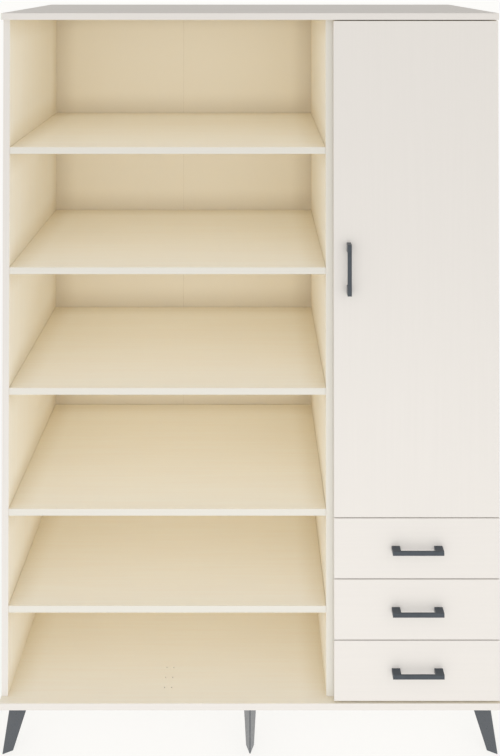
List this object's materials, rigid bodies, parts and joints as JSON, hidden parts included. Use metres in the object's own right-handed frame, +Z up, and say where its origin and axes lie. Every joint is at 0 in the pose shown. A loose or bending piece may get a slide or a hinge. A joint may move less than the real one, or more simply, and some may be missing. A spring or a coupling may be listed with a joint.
{
  "type": "wardrobe with drawers",
  "caption": "Cream wardrobe on folded steel legs: an open bookcase beside a cupboard with a tall hinged door, a clothes rail behind it, and drawers on runners below.",
  "frame": {"origin": "on the floor, under the middle of the box that holds the whole wardrobe, handles included", "axes": "+Z up, +X to the right seen from the front, +Y to the back"},
  "size_m": [1.2, 0.518, 1.774],
  "materials": {
    "melamine_board": "matt melamine",
    "fibreboard": "painted fibreboard",
    "leg_steel": "powder coat",
    "handle_metal": "powder coat",
    "zinc_steel": "zinc plated",
    "rail_chrome": "polished",
    "beech": "raw"
  },
  "bodies": {
    "carcass": {"back_sheet_left": "fibreboard", "back_sheet_middle": "fibreboard", "back_sheet_right": "fibreboard", "bookcase_left_side": "melamine_board", "bookcase_right_side": "melamine_board", "bottom_panel": "melamine_board", "carcass_dowels": "beech", "clothes_rail": "rail_chrome", "cupboard_floor": "melamine_board", "cupboard_left_side": "melamine_board", "cupboard_right_side": "melamine_board", "hat_shelf": "melamine_board", "hinge_arms": "zinc_steel", "hinge_plates": "zinc_steel", "leg_back_centre": "leg_steel", "leg_back_left": "leg_steel", "leg_back_right": "leg_steel", "leg_front_centre": "leg_steel", "leg_front_left": "leg_steel", "leg_front_right": "leg_steel", "leg_screws": "zinc_steel", "module_screws": "zinc_steel", "rail_sockets": "rail_chrome", "runner_cabinet_members": "zinc_steel", "shelf_1": "melamine_board", "shelf_2": "melamine_board", "shelf_3": "melamine_board", "shelf_4": "melamine_board", "shelf_5": "melamine_board", "shelf_pins": "zinc_steel", "top_panel": "melamine_board"},
    "hinge_linkage": {"hinge_links": "zinc_steel", "hinge_pins": "zinc_steel"},
    "door": {"door": "melamine_board", "door_handle": "handle_metal", "hinge_cups": "zinc_steel"},
    "drawer_1": {"drawer_1_back": "melamine_board", "drawer_1_bottom": "fibreboard", "drawer_1_front": "melamine_board", "drawer_1_handle": "handle_metal", "drawer_1_left_side": "melamine_board", "drawer_1_right_side": "melamine_board", "runner_inner_1": "zinc_steel"},
    "runner_1": {"runner_middle_1": "zinc_steel"},
    "drawer_2": {"drawer_2_back": "melamine_board", "drawer_2_bottom": "fibreboard", "drawer_2_front": "melamine_board", "drawer_2_handle": "handle_metal", "drawer_2_left_side": "melamine_board", "drawer_2_right_side": "melamine_board", "runner_inner_2": "zinc_steel"},
    "runner_2": {"runner_middle_2": "zinc_steel"},
    "drawer_3": {"drawer_3_back": "melamine_board", "drawer_3_bottom": "fibreboard", "drawer_3_front": "melamine_board", "drawer_3_handle": "handle_metal", "drawer_3_left_side": "melamine_board", "drawer_3_right_side": "melamine_board", "runner_inner_3": "zinc_steel"},
    "runner_3": {"runner_middle_3": "zinc_steel"}
  },
  "joints": [
    {"name": "hinge_link_swing", "type": "hinge", "parent": "carcass", "child": "hinge_linkage", "pos_m": [0.5723, -0.2268, 1.1608], "axis": [0, 0, 1], "range_deg": [-62.8, 0]},
    {"name": "door_swing", "type": "hinge", "parent": "hinge_linkage", "child": "door", "pos_m": [0.5895, -0.2275, 1.1608], "axis": [0, 0, 1], "range_deg": [0, 157.7]},
    {"name": "drawer_1_slide", "type": "slide", "parent": "carcass", "child": "drawer_1", "axis": [0, -1, 0], "range_m": [0, 0.4]},
    {"name": "runner_1_slide", "type": "slide", "parent": "carcass", "child": "runner_1", "axis": [0, -1, 0], "range_m": [0, 0.2]},
    {"name": "drawer_2_slide", "type": "slide", "parent": "carcass", "child": "drawer_2", "axis": [0, -1, 0], "range_m": [0, 0.4]},
    {"name": "runner_2_slide", "type": "slide", "parent": "carcass", "child": "runner_2", "axis": [0, -1, 0], "range_m": [0, 0.2]},
    {"name": "drawer_3_slide", "type": "slide", "parent": "carcass", "child": "drawer_3", "axis": [0, -1, 0], "range_m": [0, 0.4]},
    {"name": "runner_3_slide", "type": "slide", "parent": "carcass", "child": "runner_3", "axis": [0, -1, 0], "range_m": [0, 0.2]}
  ],
  "couplings": [
    {"joint": "hinge_link_swing", "follows": "door_swing", "ratio": -0.39759},
    {"joint": "runner_1_slide", "follows": "drawer_1_slide", "ratio": 0.5},
    {"joint": "runner_2_slide", "follows": "drawer_2_slide", "ratio": 0.5},
    {"joint": "runner_3_slide", "follows": "drawer_3_slide", "ratio": 0.5}
  ]
}
